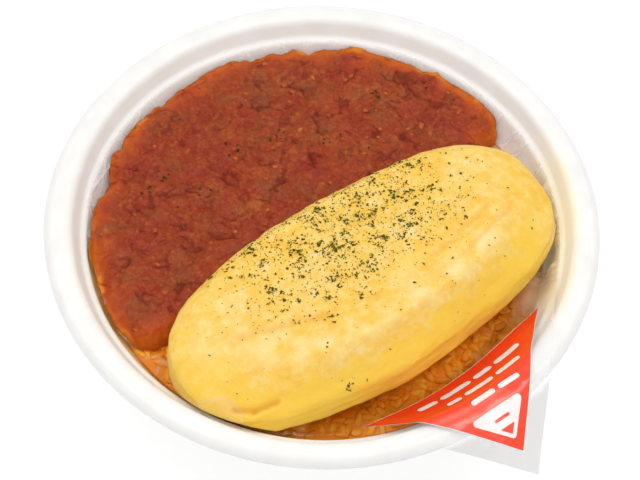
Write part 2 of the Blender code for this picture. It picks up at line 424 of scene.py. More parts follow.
# %% Turn the bowl
def make_bowl(look):
    """Both faces of the sheet, closed by a round lip, with a shallow hollow under the foot."""
    under = beside(PLAIN, -FOAM)
    under[0, 0] = 0.0
    tip = (INNER[-1] + under[-1]) / 2
    start = INNER[-1] - tip
    aside = np.array([-start[1], start[0]])
    lip = [tip + start * math.cos(t) + aside * math.sin(t) * 0.6 for t in np.linspace(0, -math.pi, 9)[1:-1]]
    profile = np.vstack([INNER, lip, under[::-1]])
    whole, inner = distances(profile)[-1], distances(INNER)[-1]
    flat = np.arange(0, 46, 3.0)
    stretches = [(47, inner - 3.5, 110), (inner - 3.4, inner + 1.5, 40), (inner + 2, whole - 47, 95)]
    curved = np.concatenate([np.linspace(*stretch) for stretch in stretches])
    even = along(profile, np.concatenate([flat, curved, whole - flat[::-1]]))
    even[0, 0] = even[-1, 0] = 0.0
    even[:, 1] += 0.5 * ease((54 - even[:, 0]) / 3) * (even[:, 1] < 0.01)
    even[:, 1] -= 0.18 * bell(even[:, 0] - RIM_RADIUS + 4.0, 0.9) * (even[:, 1] > RIM_HEIGHT - 1)
    points, faces = turned(even, 240)
    x, y, z = points.T
    turn, radius = polar(x, y)
    on_inner = np.arange(len(z)) < len(z) // 2
    upper = ease((z - RIM_HEIGHT + 12) / 5) * ease((RIM_RADIUS - 4 - radius) / 5) * on_inner
    bulge = bell(turn + 90 * DEG, 38 * DEG) - 0.5 * bell(np.abs(turn) - math.pi, 0.5)
    points[:, :2] *= (1 + 1.2 * upper * bulge / radius.clip(1))[:, None]
    made = piece("foam_bowl", points, faces, look)
    # Next to the egg the wall gets a painted cream glow of the egg's light; near the sauce, lower down, it has
    # a real orange stain.
    near_egg = ease((32 * DEG - np.abs(turn)) / 0.3)
    near_sauce = ease((52 * DEG - apart(turn, 222 * DEG)) / 0.5)
    inside = ease((RIM_RADIUS - 5.5 - np.hypot(x, y)) / 3) * on_inner
    low = ease((RIM_HEIGHT - 9 - z) / 4)
    greased = inside * np.maximum(near_egg * (0.26 + 0.05 * low), near_sauce * (0.08 + 0.8 * low))
    # The second number marks the inner wall below the rim, which the finish paints whiter: painted light.
    note(made, greased=greased, smooth=inside * ease((RIM_HEIGHT - 5 - z) / 3))
    return stay(made, "foam", "bowl")


make_bowl(foamed_polystyrene())

# %% [markdown]
# ## Where the film lies
#
# The film is a flat sheet: round, with one square corner. A place on it is named by its direction and its
# distance from the middle, and two paths say where it ends up. One path runs level over the rice and hugs the
# wall. The other, under the tab, leaves the rice early and rises straight to the rim and over it.


# %% Lay out the film's paths
def bed_relief(x, y):
    """How far the top of the rice stands above or below its level, as in the frame."""
    inside = 1 - ease((np.hypot(x, y) - 50) / 12)
    return 0.8 * inside * lumps(x, y, 38, 1.7)


def film_paths(clear):
    """The hugging path and the rising path, that far above what the film lies on."""
    level = RICE_LEVEL + clear
    wall = beside(INNER, clear + 0.4)
    wall = wall[wall[:, 0] > FOOT_RADIUS - 8][:25]
    heights = (level, RIM_HEIGHT - 12.5, RIM_HEIGHT - 8.9)
    hugging = list(zip(np.interp(heights, wall[:, 1], wall[:, 0]), heights, (5.0, 5.0, 1.0)))
    crest = RIM_HEIGHT + clear + 0.6
    over_rim = [
        (RIM_RADIUS - 8.3, crest, 3.0),
        (RIM_RADIUS - 2.5, crest - 0.2, 4.0),
        (RIM_RADIUS + 30.0, crest - 13.0, 0.0),
    ]
    rising = [(66.0, level, 9.0)]
    return [rounded([(0.0, level, 0.0), *climb, *over_rim]) for climb in (hugging, rising)]


def up_the_wall(path, with_top=False):
    """The part of a path that climbs the wall, with or without its highest point."""
    path = path[: np.argmax(path[:, 1]) + with_top]
    return path[path[:, 0] > FOOT_RADIUS]


FILM_PATHS = film_paths(FILM_LIFT)
print("The film climbs to", round(along(FILM_PATHS[0], FILM_RADIUS)[1], 1), "mm on the wall")

# %% [markdown]
# ## Wrinkles
#
# A round sheet pressed into a bowl has too much edge, so it gathers in narrow pleats that run up the wall. A
# few sharper creases are laid one by one. On the rice the film only swells softly, and the tab is bent a little
# where it was folded.

# %% Scatter the pleats
PLEATS = 90
CREASED_SIDES = (8 * DEG, 218 * DEG)
pleat_turn = np.sort(random.uniform(-math.pi, math.pi, PLEATS))
pleat_width = random.uniform(0.35, 1.5, PLEATS)
pleat_height = random.uniform(0.15, 0.75, PLEATS)
pleat_start = random.uniform(66, 77, PLEATS)
pleat_lean = random.normal(0, 0.05, PLEATS)
CREASES = [
    # turn in degrees and distance from the middle at both ends, half width, height, whiteness (partly a painted
    # highlight)
    (34.4, 76.0, 33.6, 84.5, 0.4, 0.7, 1.0),
    (30.6, 76.5, 28.4, 85.5, 0.4, 0.7, 1.0),
    (351.5, 72.0, 346.5, 88.0, 0.6, 0.9, 0.8),
    (220.5, 79.0, 223.5, 70.5, 1.2, 1.0, 0.2),
    (223.5, 70.5, 231.5, 69.5, 1.2, 1.0, 0.2),
    (227.0, 70.0, 225.0, 83.0, 2.4, 0.8, 0.1),
    (214.0, 80.0, 218.0, 74.0, 1.0, 0.8, 0.2),
    (263.5, 84.0, 268.5, 69.0, 0.9, 0.9, 0.35),
    (263.0, 72.5, 266.5, 86.0, 0.8, 0.8, 0.35),
    (12.0, 80.0, 18.0, 72.0, 0.6, 0.7, 0.5),
    (5.0, 74.0, 1.0, 86.0, 0.5, 0.6, 0.6),
    (160.0, 80.5, 172.0, 84.5, 0.7, 0.8, 0.9),
    (163.0, 84.5, 170.0, 79.5, 0.6, 0.7, 0.8),
    (181.0, 79.5, 188.0, 84.0, 0.6, 0.6, 0.7),
    (146.0, 84.5, 152.0, 81.5, 0.5, 0.5, 0.6),
]


# %% Fold the pleats into the film
def on_tab(turn):
    """From 0 beside the tab to 1 inside it."""
    return ease((TAB_HALF_ANGLE - apart(turn, TAB_TURN)) / 0.2)


def film_reach(turn):
    """The sheet's size in a direction: a round one with a square corner, a little short on the lower left."""
    aside = np.minimum(apart(turn, TAB_TURN), TAB_HALF_ANGLE)
    short = 4.0 * ease((60 * DEG - apart(turn, 232 * DEG)) / 0.4)
    return FILM_RADIUS / np.cos(TAB_HALF_ANGLE - aside) - short * (1 - on_tab(turn))


def from_line(x, y, start, end):
    """How far each place is from a straight line between two places."""
    run = end - start
    share = ((x - start[0]) * run[0] + (y - start[1]) * run[1]) / (run @ run)
    share = np.clip(share, 0, 1)
    return np.hypot(x - start[0] - share * run[0], y - start[1] - share * run[1])


def film_creases(turn, length):
    """How high the gathered film stands at a place, and how folded it is from 0 to 1."""
    x, y = length * np.cos(turn), length * np.sin(turn)
    rise, folded = np.zeros(len(turn)), np.zeros(len(turn))
    bent = turn + 0.02 * lumps(x, y, 6, 4.4)
    for at, width, height, start, lean in zip(pleat_turn, pleat_width, pleat_height, pleat_start, pleat_lean):
        strong = 0.45 + 0.55 * max(ease((0.75 - apart(at, side)) / 0.3) for side in CREASED_SIDES)
        off = apart(bent, at + lean * (length - start) / 15) * np.maximum(length, 1.0)
        ridge = ease((length - start) / 7) * (1 - on_tab(turn) * 0.85) * bell(off, width)
        rise += height * strong * ridge
        folded = np.maximum(folded, strong * ridge * 0.6)
    for turn_0, length_0, turn_1, length_1, width, height, white in CREASES:
        ends = length_0 * ways(turn_0 * DEG), length_1 * ways(turn_1 * DEG)
        ridge = bell(from_line(x, y, *ends) + 0.15 * lumps(x, y, 5, 1.3), width)
        rise = np.maximum(rise, height * ridge)
        folded = np.maximum(folded, white * ridge)
    return rise, folded


def film_swell(turn, length):
    """How far the film stands off its path at a place."""
    x, y = length * np.cos(turn), length * np.sin(turn)
    soft = 0.10 * lumps(x, y, 9, 6.1) + 0.05 * lumps(x, y, 3.5, 2.2)
    wall = 0.45 * ease((length - 72) / 8) * (1 - on_tab(turn)) * lumps(length / 3, turn * 80, 9, 5.9)
    tab = 0.35 * on_tab(turn) * ease((length - 92) / 10) * lumps(x, y, 14, 9.4)
    return soft + np.maximum(wall, -0.15) + tab + film_creases(turn, length)[0]


def on_film(x, y, lift=0.0):
    """Where places of the flat sheet end up, in millimetres."""
    turn, length = polar(x, y)
    share = ease((TAB_HALF_ANGLE - apart(turn, TAB_TURN)) / (25 * DEG))[:, None]
    step = 0.2
    hugging, rising = FILM_PATHS
    here, further = [
        along(hugging, at) * (1 - share) + along(rising, at) * share for at in (length, length + step)
    ]
    run = (further - here) / step
    run /= np.linalg.norm(run, axis=1)[:, None]
    swell = (film_swell(turn, length) + lift)[:, None]
    place = here + np.stack([-run[:, 1], run[:, 0]], 1) * swell
    px, py = place[:, 0] * np.cos(turn), place[:, 0] * np.sin(turn)
    return np.stack([px, py, place[:, 1] + bed_relief(px, py)], 1)


# %% [markdown]
# ## Clear film
#
# The film is polypropylene about 0.04 mm thick. It hardly takes colour from what is under it: what the eye
# sees is a faint white veil and the shine on its wrinkles. So the finish mixes a fully clear shader with a hazy
# white one by the "veil", and adds the mirror shine by the Fresnel share. Each point of the film says how
# veiled and folded it is, and how slack: where it lies wet against the food or flat on the wall it hardly
# shines. The haze is whiter on folds, partly for a fold's extra layers and partly as a painted highlight on the
# wrinkles. Beside the egg it is thicker and painted cream, a painted glow of the light that the egg throws
# back, and the strip that clings to the egg has the same cream tint.


# %% Mix the film
def clear_polypropylene():
    """Thin clear film: see-through, with a white haze where it is folded and a sharp shine."""
    made, tree, haze = finish("clear_polypropylene", Roughness=0.3, IOR=1.49)
    place = node(tree, "TexCoord", out="Object")
    crinkle = node(tree, "TexNoise", {"Vector": place, "Scale": per_mm(4.0), "Detail": 3.0})
    bump = node(tree, "Bump", {"Height": crinkle, "Strength": 0.5, "Distance": 0.5 * MM})
    veil, fold, greased, slack = [
        node(tree, "Attribute", out="Fac", attribute_name=name) for name in ("veil", "fold", "greased", "slack")
    ]
    # Grey haze where the film is plain, whiter on folds: partly a fold's extra layers, partly a painted
    # highlight on the wrinkles.
    milky = node(tree, "ValToRGB", {"Fac": fold}, stops=[(0.0, "#A09C9C"), (0.5, "#FFFEFC")])
    # Painted glow: beside the egg the haze turns cream, for the light that the egg throws back.
    milky = node(tree, "Mix", {0: greased, 6: milky, 7: "#FCEBC8"}, **MIX)
    fill(haze, {"Base Color": milky, "Normal": bump})
    body = node(tree, "MixShader", {"Fac": veil, 1: node(tree, "BsdfTransparent"), 2: haze.outputs[0]})
    mirror = {"Base Color": "#FFFFFF", "Metallic": 1.0, "Roughness": 0.14, "Normal": bump}
    shine = node(tree, "BsdfPrincipled", mirror)
    grazing = node(tree, "Fresnel", {"IOR": 1.32, "Normal": bump})
    share = node(tree, "Math", {0: grazing, 1: slack}, operation="MULTIPLY")
    mixed = node(tree, "MixShader", {"Fac": share, 1: body, 2: shine})
    fill(tree.nodes["Material Output"], {"Surface": mixed})
    return made


FILM_LOOK = clear_polypropylene()


# %% Cut and lay the film
def make_film():
    """The sheet, cut flat and laid in the bowl, with what its finish reads at each point."""
    turns = np.linspace(-math.pi, math.pi, 900, endpoint=False) + TAB_TURN
    way = ways(turns)
    reach = film_reach(turns) + 0.25 * lumps(*way.T * 60, 9, 3.0)
    flat, triangles = filled(way * reach[:, None], 0.75, (58.0, 1.8))
    made = piece("wrap_film", on_film(*flat.T), triangles, FILM_LOOK, closed=False)
    turn, length = polar(*flat.T)
    folded = film_creases(turn, length)[1]
    tab = on_tab(turn)
    over_rim = ease((length - 99) / 4) * tab
    hung = ease((length - 76) / 6) * (1 - over_rim)
    # Beside the egg's right end the film gets a painted cream glow of the egg's light and a thicker veil.
    greased = ease((27 * DEG - apart(turn, -2 * DEG)) / 0.25) * ease((length - 66) / 8) * (1 - over_rim)
    wet = ease((62 * DEG - apart(turn, 243 * DEG)) / 0.2) * ease((length - 69) / 4)
    veil = 0.012 + 0.2 * hung * (1 - wet) + 0.33 * over_rim + 0.5 * folded + greased * (0.2 + 0.35 * tab)
    slack = 1 - np.maximum(0.85 * wet * (1 - tab), 0.8 * hung)
    # Whiter along folds, partly for the extra layers and partly as a painted highlight; also whiter where the
    # film hangs on the wall.
    fold = (folded * 1.5 + 0.8 * hung).clip(0, 1)
    note(made, veil=veil.clip(0, 0.75), fold=fold, greased=greased, slack=slack)
    return stay(made, "clear_film", "film")


make_film()

# %% [markdown]
# ## The print on the tab
#
# The film's corner carries a red printed triangle with a white one in it, and plain bars where a pack has its
# instructions. Each colour is its own thin piece, cut in the flat sheet's own measures and laid by the same
# function as the film, a hair above it. That keeps every edge of the print sharp however close one looks.


# %% Mix the inks
def printing_ink(name, shades):
    """Gravure ink on film: a flat colour under the film's own gloss, with its faint mottle."""
    made, tree, shader = finish(name, Roughness=0.35, IOR=1.49, Coat_Weight=0.7, Coat_Roughness=0.12)
    place = node(tree, "TexCoord", out="Object")
    mottle = node(tree, "TexNoise", {"Vector": place, "Scale": per_mm(1.5), "Detail": 2.0})
    crinkle = node(tree, "TexNoise", {"Vector": place, "Scale": per_mm(7.0), "Detail": 2.0})
    bent = node(tree, "Attribute", out="Fac", attribute_name="bent")
    tone = node(tree, "ValToRGB", {"Fac": mottle}, stops=zip((0.2, 0.8), shades))
    # Painted highlight: the ink turns pale pink along the rim's crest, where the bent tab catches the light.
    tone = node(tree, "Mix", {0: bent, 6: tone, 7: "#FFC4B4"}, **MIX)
    bump = node(tree, "Bump", {"Height": crinkle, "Strength": 0.5, "Distance": 0.6 * MM})
    fill(shader, {"Base Color": tone, "Normal": bump, "Coat Normal": bump})
    return made


RED_INK = printing_ink("red_ink", ("#F2380F", "#F8461C"))
WHITE_INK = printing_ink("white_ink", ("#F6E9E5", "#FBF1EE"))

# %% Lay the prints
TAB_WAY = ways(TAB_TURN)
TAB_SIDE = np.array([-TAB_WAY[1], TAB_WAY[0]])
PRINT_LAYER = 0.12  # between one layer and the next, drawn thicker than real ink so that none flickers


def corner_triangle(base, corner, half, radius=0.0):
    """A triangle on the tab whose tip points at the film's corner, its corners rounded if a radius is given."""
    corners = [(base, -half), (corner, 0.0), (base, half)]
    if not radius:
        return np.array(corners)
    fillets = [(*c, radius) for c in reversed(corners)]
    return rounded([(base, 0.0, 0.0), *fillets, (base, 0.0, 0.0)])[:-1]


def bar(at, low, high, width):
    """A bar with round ends across the tab."""
    half = width / 2
    end = ways(np.linspace(-math.pi / 2, math.pi / 2, 9))[:, ::-1] * half
    return np.vstack([(at, high - half) + end, (at, low + half) - end])


def stretched(x, y):
    """Painted highlight streaks on the print where it bends over the rim's crest, from 0 to 1."""
    turn, radius = polar(x, y)
    strength = ease((lumps(turn * 9, 0, 1.0, 3.6) + 0.45) / 0.6)
    wave = 0.8 * lumps(turn * 5, 0, 1.0, 6.2)
    streaks = [bell(radius - RIM_RADIUS - at - wave, width) for at, width in ((-6.0, 0.9), (-3.4, 0.8))]
    return 0.22 * strength * np.max(streaks, axis=0)


def make_print(name, outlines, layer, ink):
    """One or more outlines, as (along, across) on the tab, laid that many layers above the film."""
    points, faces = np.empty((0, 3)), []
    for outline in outlines:
        flat, triangles = filled(resampled(outline, 0.7), 1.0)
        flat = flat[:, :1] * TAB_WAY + flat[:, 1:] * TAB_SIDE
        faces += (triangles + len(points)).tolist()
        points = np.vstack([points, on_film(*flat.T, layer * PRINT_LAYER)])
    made = piece(name, points, faces, ink, closed=False)
    note(made, bent=stretched(*points.T[:2]))
    return stay(made, "clear_film")


RED_FIELD = np.array([(73.6, -37.0), (113.0, 0.0), (70.2, 40.6)])
WHITE_FIELD = RED_FIELD + [(-0.5, -0.7), (0.6, 0.0), (-0.5, 0.7)]
BAR_ROWS = [
    # along the tab, width, and where each bar starts and ends across it
    (79.6, 2.8, [(-19.0, -11.0), (-9.6, 3.0), (4.4, 12.0), (13.4, 24.5)]),
    (86.4, 2.5, [(-11.5, -5.5), (-4.0, 8.0), (9.5, 20.0)]),
    (92.4, 1.7, [(-6.0, 4.0), (5.5, 14.5)]),
]
BARS = [bar(at, *ends, width) for at, width, row in BAR_ROWS for ends in row]
ARROW = [corner_triangle(104.0, 106.9, 2.9), bar(101.0, -3.2, 3.2, 1.0)]
make_print("print_white_edge", [WHITE_FIELD], 1, WHITE_INK)
make_print("print_red_field", [RED_FIELD], 2, RED_INK)
make_print("print_white_triangle", [corner_triangle(97.2, 108.8, 11.6, 1.1)], 3, WHITE_INK)
make_print("print_red_arrow", ARROW, 4, RED_INK)
make_print("print_white_bars", BARS, 3, WHITE_INK)

# %% [markdown]
# ## Cooked egg
#
# The omelette is beaten egg, cooked gently so that it never browns. Light sinks a few millimetres into it and
# comes back yellow. Its skin is satin, with tiny pores and fine streaks along its length from the mould that it
# was turned out of. The piece also says where light and shade are painted on it: a painted highlight along the
# front shoulder, a painted richer yellow on the lower side towards the tab where that side turns from the
# light, and painted shade in its creases.


# %% Mix the egg
def cooked_egg():
    """Set egg: a satin yellow skin that light sinks into, with fine pores and streaks."""
    made, tree, shader = finish("cooked_egg", Roughness=0.45, IOR=1.36, **glow(0.5, (1.0, 0.66, 0.22), 4.0))
    place = node(tree, "TexCoord", out="Object")
    level = node(tree, "Mapping", {"Vector": place, "Rotation": (0, 0, -OMELETTE_TURN)})
    drawn = node(tree, "Mapping", {"Vector": level, "Scale": (0.16, 1.0, 1.0)})
    patches = node(tree, "TexNoise", {"Vector": place, "Scale": per_mm(13.0), "Detail": 3.0, "Roughness": 0.6})
    mottle = node(tree, "TexNoise", {"Vector": place, "Scale": per_mm(3.0), "Detail": 4.0, "Roughness": 0.65})
    streaks = node(tree, "TexNoise", {"Vector": drawn, "Scale": per_mm(2.2), "Detail": 3.0})
    pores = node(tree, "TexVoronoi", {"Vector": place, "Scale": per_mm(2.4)})
    yellows = [(0.34, "#F6C03C"), (0.48, "#F9CE56"), (0.62, "#FBDE92")]
    top = node(tree, "ValToRGB", {"Fac": patches}, stops=yellows)
    flecks = [(0.34, "#F0B636"), (0.5, "#F8CC58"), (0.64, "#FDE8B4")]
    fine = node(tree, "ValToRGB", {"Fac": mottle}, stops=flecks)
    lined = node(tree, "ValToRGB", {"Fac": streaks}, stops=[(0.3, "#F3B83C"), (0.7, "#FADA86")])
    colour = node(tree, "Mix", {0: 0.45, 6: top, 7: fine}, **MIX)
    colour = node(tree, "Mix", {0: 0.3, 6: colour, 7: lined}, **MIX)
    # Three painted marks: a highlight along the front shoulder, a richer yellow for the shading of the lower
    # side towards the tab, and shade in the creases.
    for name, tone in (("pale", "#FDE3A4"), ("deep", "#FFCF46"), ("crease", "#E09A1C")):
        share = node(tree, "Attribute", out="Fac", attribute_name=name)
        colour = node(tree, "Mix", {0: share, 6: colour, 7: tone}, **MIX)
    pit = node(tree, "ValToRGB", {"Fac": pores}, stops=[(0.0, "#000000"), (0.22, "#FFFFFF")])
    height = node(tree, "Math", {0: streaks, 1: mottle}, operation="ADD")
    rough = node(tree, "Bump", {"Height": height, "Strength": 0.35, "Distance": 0.35 * MM})
    pitted = node(tree, "Bump", {"Height": pit, "Strength": 0.4, "Distance": 0.2 * MM, "Normal": rough})
    fill(shader, {"Base Color": colour, "Normal": pitted})
    return made


# %% [markdown]
# ## The omelette
#
# The omelette is a plump oval loaf: a flat foot, sides that swell past it, a rounded shoulder and an almost
# level top. Its outline is a superellipse, which is blunter at the ends than an ellipse. The side towards the
# tab leans in, has the softer shoulder and swells a little in its middle. Where its ends meet the bowl's wall
# they are pressed in to follow the wall.

# %% Shape the omelette
# corners as shares of the reach and of the height, with fillet radii
LOAF = [(0, 0, 0), (0.80, 0, 0.04), (1.004, 0.30, 0.22), (0.99, 0.76, 0.2), (0.80, 0.95, 0.3), (0, 1, 0)]
LOAF_PROFILE = rounded(LOAF)
OMELETTE_FOOT = RICE_LEVEL + 1.1
OVAL_POWER = 2.6
GROOVES = [
    # start and end, as (along, across) on the omelette, half width, depth
    ((-62.5, -15.3), (-57.6, -19.0), 0.9, 0.8),
    ((-57.6, -19.0), (-50.3, -21.0), 0.9, 0.8),
    ((20.0, -9.0), (46.0, -4.0), 1.1, 0.3),
    ((28.0, -14.0), (52.0, -8.0), 0.9, 0.25),
    ((-50.0, 2.0), (-22.0, -8.0), 1.6, 0.35),
]
PRESSED_WALL = up_the_wall(film_paths(1.1)[0])


def on_wall(height):
    """How far out the film's inner side is at a height on the wall."""
    return np.interp(height, PRESSED_WALL[:, 1], PRESSED_WALL[:, 0])


def film_height(radius):
    """How high the film's inner side is at a distance from the axis, along the wall."""
    return np.interp(radius, PRESSED_WALL[:, 0], PRESSED_WALL[:, 1], left=0.0)


def oval(turn):
    """How far out the outline is, where it is one at the ends of both axes."""
    return (np.abs(np.cos(turn)) ** OVAL_POWER + np.abs(np.sin(turn)) ** OVAL_POWER) ** (-1 / OVAL_POWER)


def from_omelette(x, y):
    """A place in the bowl from its distances along and across the omelette."""
    c, s = math.cos(OMELETTE_TURN), math.sin(OMELETTE_TURN)
    return OMELETTE_PLACE[0] + x * c - y * s, OMELETTE_PLACE[1] + x * s + y * c


def make_omelette(look):
    """The loaf, shaped in its own directions, turned into place and pressed to the wall at its ends."""
    points, faces = turned(along(LOAF_PROFILE, np.linspace(0, distances(LOAF_PROFILE)[-1], 150)), 400)
    turn, out = polar(*points.T[:2])
    rise = points[:, 2]
    front = ease(0.5 - 0.75 * np.sin(turn))  # 1 on the side towards the tab
    lean = 1 - 0.05 * front * ease((rise - 0.1) / 0.7)
    x = OMELETTE_LENGTH / 2 * out * oval(turn) * np.cos(turn)
    y = OMELETTE_WIDTH / 2 * out * oval(turn) * np.sin(turn) * lean
    upper = ease((rise - 0.3) / 0.5)
    shoulder = bell(out - 0.62, 0.09)
    rise = rise - upper * front * 0.17 * ease((out - 0.62) / 0.3) + upper * front * 0.03 * shoulder
    rise += 0.05 * upper * (1 - front) * bell(out - 0.88, 0.1)
    side = ease((out - 0.75) / 0.2)
    wavy = 0.5 * lumps(x, y + 90 * rise, 11, 7.7) + (0.4 - 0.22 * front) * lumps(x, y + 60 * rise, 4, 3.1)
    foot = 0.9 * ease((0.3 - rise) / 0.25) * lumps(x, y, 3.2, 5.5)
    x += side * (wavy + foot) * np.cos(turn)
    y += side * (wavy + foot) * np.sin(turn)
    y -= 2.2 * side * front * bell(x + 5, 20)
    top = ease(rise * 2)
    z = OMELETTE_FOOT + OMELETTE_HEIGHT * rise + 0.6 * top * lumps(x, y, 30, 5.2)
    z += top * (0.35 * lumps(x, y, 9, 2.9) + 0.22 * lumps(x, y, 3.5, 4.2) + 0.08 * lumps(x, y, 1.6, 9.2))
    # The grooves are also painted darker by their depth: painted shade in the creases.
    creased = np.zeros(len(x))
    for start, end, width, depth in GROOVES:
        dent = depth * (top * bell(from_line(x, y, np.array(start), np.array(end)), width))
        z -= dent
        creased = np.maximum(creased, dent)
    px, py = from_omelette(x, y)
    squeeze = np.minimum(1.0, (on_wall(z) + 0.6) / np.hypot(px, py))
    px, py = px * squeeze, py * squeeze
    z += bed_relief(px, py)
    made = piece("omelette_roll", np.stack([px, py, z], 1), faces, look)
    rough = 0.1 * lumps(x, y, 5, 1.9)
    # Painted side shading: the lower side towards the tab, less at the right end, gets a richer yellow for how
    # that side is lit.
    deep = ease((out - 0.74 + rough) / 0.14) * ease((1.0 - rise + rough) / 0.16) * (0.15 + 0.75 * front)
    deep *= 1 - 0.7 * ease((x - 50) / 15)
    # Painted highlight: a pale cream band along the front shoulder.
    pale = shoulder * front * ease(0.55 + 1.6 * lumps(x, y, 8, 6.2)) * upper
    note(made, deep=0.95 * deep, pale=0.8 * pale * (1 - deep), crease=0.8 * creased.clip(0, 1))
    return stay(made, "egg", "omelette")


omelette = make_omelette(cooked_egg())

# %% [markdown]
# ## Rice
#
# Short-grain rice, fried with tomato: plump grains about 6 mm by 3 mm, stained orange, wet with oil. The bed is
# a solid core a little lower than the rice's real top, and separate grains are laid over it wherever the bed
# can be seen. Each grain is its own small closed shape, bent a little and turned at random.


# %% Mix the rice
def tomato_rice(name, shades):
    """Oiled rice: satin, and clear enough that light goes a short way in and comes back orange."""
    wet = {"Roughness": 0.35, "IOR": 1.38, "Coat_Weight": 0.1, "Coat_Roughness": 0.2}
    light = glow(0.2, (1.0, 0.4, 0.1), 0.6)
    shades = zip((0.0, 0.5, 1.0), shades)
    stains = [(0.35, "#F48A06"), (0.65, "#FFA61C")]
    made, tree, shader, place = speckled(name, shades, stains, 7.0, 3.0, 0.35, **wet, **light)
    skin = node(tree, "TexNoise", {"Vector": place, "Scale": per_mm(0.8), "Detail": 2.0})
    fill(shader, {"Normal": node(tree, "Bump", {"Height": skin, "Strength": 0.25, "Distance": 0.12 * MM})})
    return made


# %% Shape the core of the bed
def make_rice_core(look):
    """The bed without its top grains: it fills the bowl to a little under the rice's level."""
    level = RICE_LEVEL - 0.8
    wall = beside(INNER, 0.3)
    rising = wall[(wall[:, 1] < level) & (wall[:, 0] < WALL_TOP_RADIUS)]
    rising[0, 0] = 0.0
    edge = np.interp(level, wall[:30, 1], wall[:30, 0])
    top = [(edge * share, level) for share in np.linspace(1, 0, 60)]
    points, faces = turned(np.vstack([rising, top]), 200)
    upper = points[:, 2] > level - 0.001
    x, y = points[upper, :2].T
    inside = ease((edge - np.hypot(x, y)) / 3)
    points[upper, 2] += bed_relief(x, y) + inside * (0.8 * lumps(x, y, 4.5, 8.8) + 0.5 * lumps(x, y, 2.2, 1.4))
    made = piece("rice_core", points, faces, look)
    note(made, grain=0.25 + 0.25 * lumps(*points.T[:2], 4.5, 8.8))
    return stay(made, "tomato_rice", "rice")


make_rice_core(tomato_rice("tomato_rice_bed", ("#F09408", "#FAA20E", "#FFAE1C")))


# %% Find where the rice shows
def surface(made):
    """A piece's faces, ready to be hit by straight lines."""
    mesh = made.data
    return BVHTree.FromPolygons([v.co for v in mesh.vertices], [list(p.vertices) for p in mesh.polygons])


def hit_from_above(tree, x, y):
    """Where a line straight down at a place meets a surface, and the surface's direction there."""
    return tree.ray_cast(Vector((x * MM, y * MM, 0.1)), Vector((0, 0, -1)))[:2]


omelette_surface = surface(omelette)
COVERS = [surface(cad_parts[name]) for name in ("omelette", "sauce")]
EIGHT_WAYS = ways(np.linspace(0, 2 * math.pi, 8, endpoint=False))


def shows(x, y, margin):
    """True if a place on the rice is open to view, or within a margin of such a place."""
    places = [(x, y), *((x, y) + margin * EIGHT_WAYS)]
    return any(all(hit_from_above(tree, *place)[0] is None for tree in COVERS) for place in places)


# %% Shape one grain and lay many
def pod(around, rows, blunt, taper=0.0):
    """A soft lump one unit high and wide, as rings of points from pole to pole, with its faces.

    A smaller blunt makes it fuller at the poles, and a larger taper thinner towards the upper one.
    """
    ring = ways(np.linspace(0, 2 * math.pi, around, endpoint=False))
    rings = []
    for i in range(1, rows):
        t = math.pi * i / rows
        height = -0.5 * math.cos(t)
        rings.append(np.c_[0.5 * math.sin(t) ** blunt * (1.0 - taper * height) * ring, np.full(around, height)])
    points = np.concatenate([[[0, 0, -0.5]], *rings, [[0, 0, 0.5]]])
    faces = []
    for j in range(around):
        k = (j + 1) % around
        faces.append((0, 1 + k, 1 + j))
        for i in range(rows - 2):
            a = 1 + i * around
            faces.append((a + j, a + k, a + around + k, a + around + j))
        last = 1 + (rows - 2) * around
        faces.append((last + j, last + k, len(points) - 1))
    return points, faces


def spun(points, turn, tip, roll=0.0):
    """Points rolled about the X axis, tipped about the Y axis and turned about the Z axis."""
    spin = Matrix.Rotation(turn, 3, "Z") @ Matrix.Rotation(tip, 3, "Y") @ Matrix.Rotation(roll, 3, "X")
    return points @ np.array(spin).T


def make_grains(look):
    """Two layers of grains where the rice shows, squeezed down where they would poke through the film."""
    points, faces = pod(12, 9, 0.8, 0.12)
    shape = points[:, [2, 0, 1]]
    reach = np.interp(RICE_LEVEL, INNER[:30, 1], INNER[:30, 0]) - 2.2
    ceiling = RICE_LEVEL + 0.15
    laid = []
    for depth, spacing in ((2.3, 3.2), (1.05, 3.3)):
        rows = np.arange(-reach, reach, spacing)
        for x0, y0 in [(x, y) for y in rows for x in rows]:
            x, y = np.array([x0, y0]) + random.uniform(-1.3, 1.3, 2)
            turn = random.uniform(0, math.pi)
            tilt = random.normal(0, 0.22)
            roll = random.uniform(0, math.pi)
            size = [random.uniform(4.4, 6.0), random.uniform(2.6, 3.2), random.uniform(2.2, 2.7)]
            shade = random.uniform()
            if math.hypot(x, y) > reach or not shows(x, y, 5.0):
                continue
            grain = shape * size
            grain[:, 2] -= 0.05 * grain[:, 0] ** 2 * random.uniform(0.2, 1.0)
            low = RICE_LEVEL - depth + random.uniform(-0.45, 0.35)
            low += float(bed_relief(x, y) + 0.5 * lumps(x, y, 8, 3.9))
            grain = spun(grain, turn, tilt, roll) + (x, y, low)
            grain[:, 2] = np.minimum(grain[:, 2], ceiling + (grain[:, 2] - ceiling) * 0.15)
            laid.append((grain, faces, shade))
    print(len(laid), "grains")
    return joined("rice_grains", laid, look, "tomato_rice")


make_grains(tomato_rice("tomato_rice_grain", ("#F89C0A", "#FFB014", "#FFC230")))

# %% [markdown]
# ## The film's loose edge
#
# At the omelette's near end the film doesn't stop on the wall: a loose tongue of it stands up and clings to the
# egg. It is a grid of places named by direction and height. Each starts on the wall's film, and is then drawn
# in to the omelette by shooting a level line at it.

# %% Cling a tongue of film to the omelette
TONGUE_LOW = 39.5
TONGUE_TOP = [
    # turn in degrees, height
    (234, 41.0), (238, 44.0), (242, 47.5), (246, 49.9), (250, 50.3), (253, 49.0), (259, 42.0),
]


